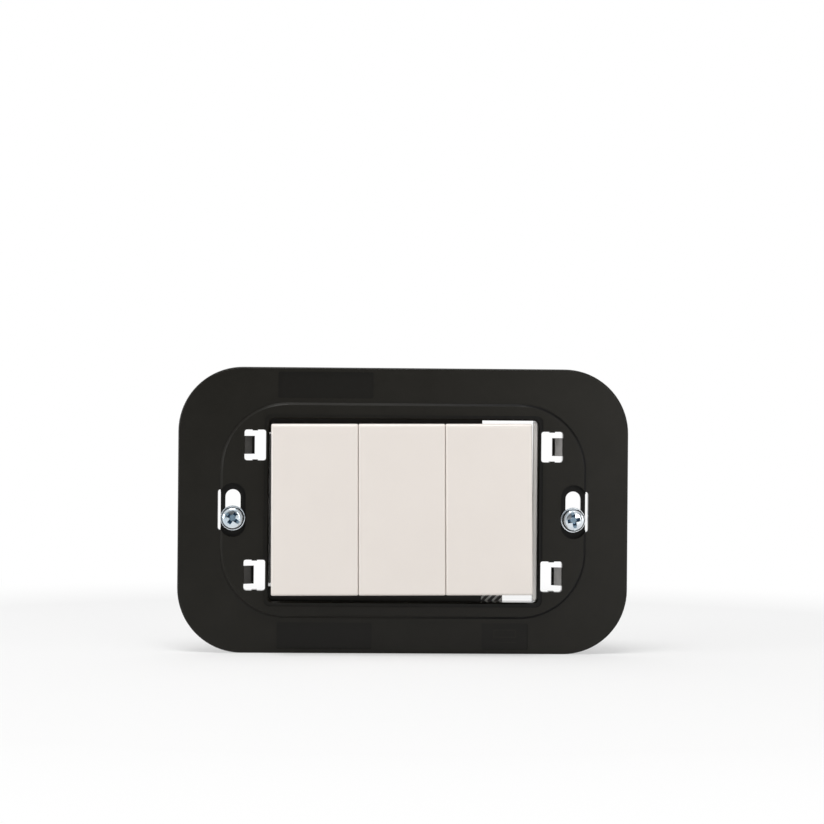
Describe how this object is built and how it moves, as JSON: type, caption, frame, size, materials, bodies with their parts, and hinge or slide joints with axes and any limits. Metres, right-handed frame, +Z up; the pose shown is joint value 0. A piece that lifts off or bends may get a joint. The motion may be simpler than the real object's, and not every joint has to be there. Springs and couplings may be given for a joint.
{
  "type": "wall switch plate",
  "caption": "Rectangular wall mounting frame with rounded corners, slotted screw fixings and cover-clip windows, carrying side-by-side white rocker switch modules.",
  "frame": {"origin": "middle of the plate on the wall plane, the flat back of the flange", "axes": "+X right along the plate as seen from the front, +Y into the wall, +Z up"},
  "size_m": [0.1104, 0.04, 0.07],
  "materials": {
    "frame_plastic": "fine satin moulded grain",
    "key_plastic": "satin",
    "body_plastic": "moulded",
    "inner_plastic": "moulded",
    "zinc_steel": "bright zinc plate",
    "screw_steel": "zinc plate",
    "spring_steel": "drawn wire",
    "contact_brass": "stamped",
    "terminal_brass": "stamped"
  },
  "bodies": {
    "frame": {"mounting_frame": "frame_plastic", "housing_left": "body_plastic", "back_cover_left": "body_plastic", "fixed_terminal_left": "terminal_brass", "common_terminal_left": "terminal_brass", "housing_middle": "body_plastic", "back_cover_middle": "body_plastic", "fixed_terminal_middle": "terminal_brass", "common_terminal_middle": "terminal_brass", "housing_right": "body_plastic", "back_cover_right": "body_plastic", "fixed_terminal_right": "terminal_brass", "common_terminal_right": "terminal_brass"},
    "washer_left": {"screw_washer_left": "zinc_steel"},
    "screw_left": {"mounting_screw_left": "zinc_steel"},
    "washer_right": {"screw_washer_right": "zinc_steel"},
    "screw_right": {"mounting_screw_right": "zinc_steel"},
    "key_left": {"key_left": "key_plastic", "rocker_left": "body_plastic", "plunger_spring_left": "spring_steel"},
    "plunger_left": {"plunger_left": "inner_plastic"},
    "contact_left": {"moving_contact_left": "contact_brass"},
    "terminal_screw_upper_left": {"terminal_screw_upper_left": "screw_steel"},
    "terminal_screw_lower_left": {"terminal_screw_lower_left": "screw_steel"},
    "key_middle": {"key_middle": "key_plastic", "rocker_middle": "body_plastic", "plunger_spring_middle": "spring_steel"},
    "plunger_middle": {"plunger_middle": "inner_plastic"},
    "contact_middle": {"moving_contact_middle": "contact_brass"},
    "terminal_screw_upper_middle": {"terminal_screw_upper_middle": "screw_steel"},
    "terminal_screw_lower_middle": {"terminal_screw_lower_middle": "screw_steel"},
    "key_right": {"key_right": "key_plastic", "rocker_right": "body_plastic", "plunger_spring_right": "spring_steel"},
    "plunger_right": {"plunger_right": "inner_plastic"},
    "contact_right": {"moving_contact_right": "contact_brass"},
    "terminal_screw_upper_right": {"terminal_screw_upper_right": "screw_steel"},
    "terminal_screw_lower_right": {"terminal_screw_lower_right": "screw_steel"}
  },
  "joints": [
    {"name": "screw_slide_left", "type": "slide", "parent": "frame", "child": "washer_left", "axis": [0, 0, 1], "range_m": [-0.0011, 0.0051]},
    {"name": "screw_turn_left", "type": "hinge", "parent": "washer_left", "child": "screw_left", "pos_m": [-0.04175, -0.0018, -0.002], "axis": [0, 1, 0], "continuous": true},
    {"name": "screw_slide_right", "type": "slide", "parent": "frame", "child": "washer_right", "axis": [0, 0, 1], "range_m": [-0.0011, 0.0051]},
    {"name": "screw_turn_right", "type": "hinge", "parent": "washer_right", "child": "screw_right", "pos_m": [0.04175, -0.0018, -0.002], "axis": [0, 1, 0], "continuous": true},
    {"name": "key_rock_left", "type": "hinge", "parent": "frame", "child": "key_left", "pos_m": [-0.02166, 0.0012, 0], "axis": [1, 0, 0], "range_deg": [0, 7]},
    {"name": "contact_tilt_left", "type": "hinge", "parent": "frame", "child": "contact_left", "pos_m": [-0.02166, 0.00965, 0], "axis": [1, 0, 0], "range_deg": [-14, 0]},
    {"name": "plunger_slide_left", "type": "slide", "parent": "key_left", "child": "plunger_left", "axis": [0, -0.9981, 0.061], "range_m": [0, 0.0006], "stiffness_N_per_m": 300, "springref_m": -0.0015, "deforming": ["plunger_spring_left"]},
    {"name": "terminal_turn_upper_left", "type": "hinge", "parent": "frame", "child": "terminal_screw_upper_left", "pos_m": [-0.02541, 0.0265, 0.0136], "axis": [0, 1, 0], "continuous": true},
    {"name": "terminal_turn_lower_left", "type": "hinge", "parent": "frame", "child": "terminal_screw_lower_left", "pos_m": [-0.02541, 0.0265, -0.0136], "axis": [0, 1, 0], "continuous": true},
    {"name": "key_rock_middle", "type": "hinge", "parent": "frame", "child": "key_middle", "pos_m": [-0.00056, 0.0012, 0], "axis": [1, 0, 0], "range_deg": [0, 7]},
    {"name": "contact_tilt_middle", "type": "hinge", "parent": "frame", "child": "contact_middle", "pos_m": [-0.00056, 0.00965, 0], "axis": [1, 0, 0], "range_deg": [-14, 0]},
    {"name": "plunger_slide_middle", "type": "slide", "parent": "key_middle", "child": "plunger_middle", "axis": [0, -0.9981, 0.061], "range_m": [0, 0.0006], "stiffness_N_per_m": 300, "springref_m": -0.0015, "deforming": ["plunger_spring_middle"]},
    {"name": "terminal_turn_upper_middle", "type": "hinge", "parent": "frame", "child": "terminal_screw_upper_middle", "pos_m": [-0.00431, 0.0265, 0.0136], "axis": [0, 1, 0], "continuous": true},
    {"name": "terminal_turn_lower_middle", "type": "hinge", "parent": "frame", "child": "terminal_screw_lower_middle", "pos_m": [-0.00431, 0.0265, -0.0136], "axis": [0, 1, 0], "continuous": true},
    {"name": "key_rock_right", "type": "hinge", "parent": "frame", "child": "key_right", "pos_m": [0.02054, 0.0012, 0], "axis": [1, 0, 0], "range_deg": [0, 7]},
    {"name": "contact_tilt_right", "type": "hinge", "parent": "frame", "child": "contact_right", "pos_m": [0.02054, 0.00965, 0], "axis": [1, 0, 0], "range_deg": [-14, 0]},
    {"name": "plunger_slide_right", "type": "slide", "parent": "key_right", "child": "plunger_right", "axis": [0, -0.9981, 0.061], "range_m": [0, 0.0006], "stiffness_N_per_m": 300, "springref_m": -0.0015, "deforming": ["plunger_spring_right"]},
    {"name": "terminal_turn_upper_right", "type": "hinge", "parent": "frame", "child": "terminal_screw_upper_right", "pos_m": [0.01679, 0.0265, 0.0136], "axis": [0, 1, 0], "continuous": true},
    {"name": "terminal_turn_lower_right", "type": "hinge", "parent": "frame", "child": "terminal_screw_lower_right", "pos_m": [0.01679, 0.0265, -0.0136], "axis": [0, 1, 0], "continuous": true}
  ],
  "couplings": [
    {"joint": "contact_tilt_left", "follows": "key_rock_left", "ratio": -2},
    {"joint": "contact_tilt_middle", "follows": "key_rock_middle", "ratio": -2},
    {"joint": "contact_tilt_right", "follows": "key_rock_right", "ratio": -2}
  ]
}
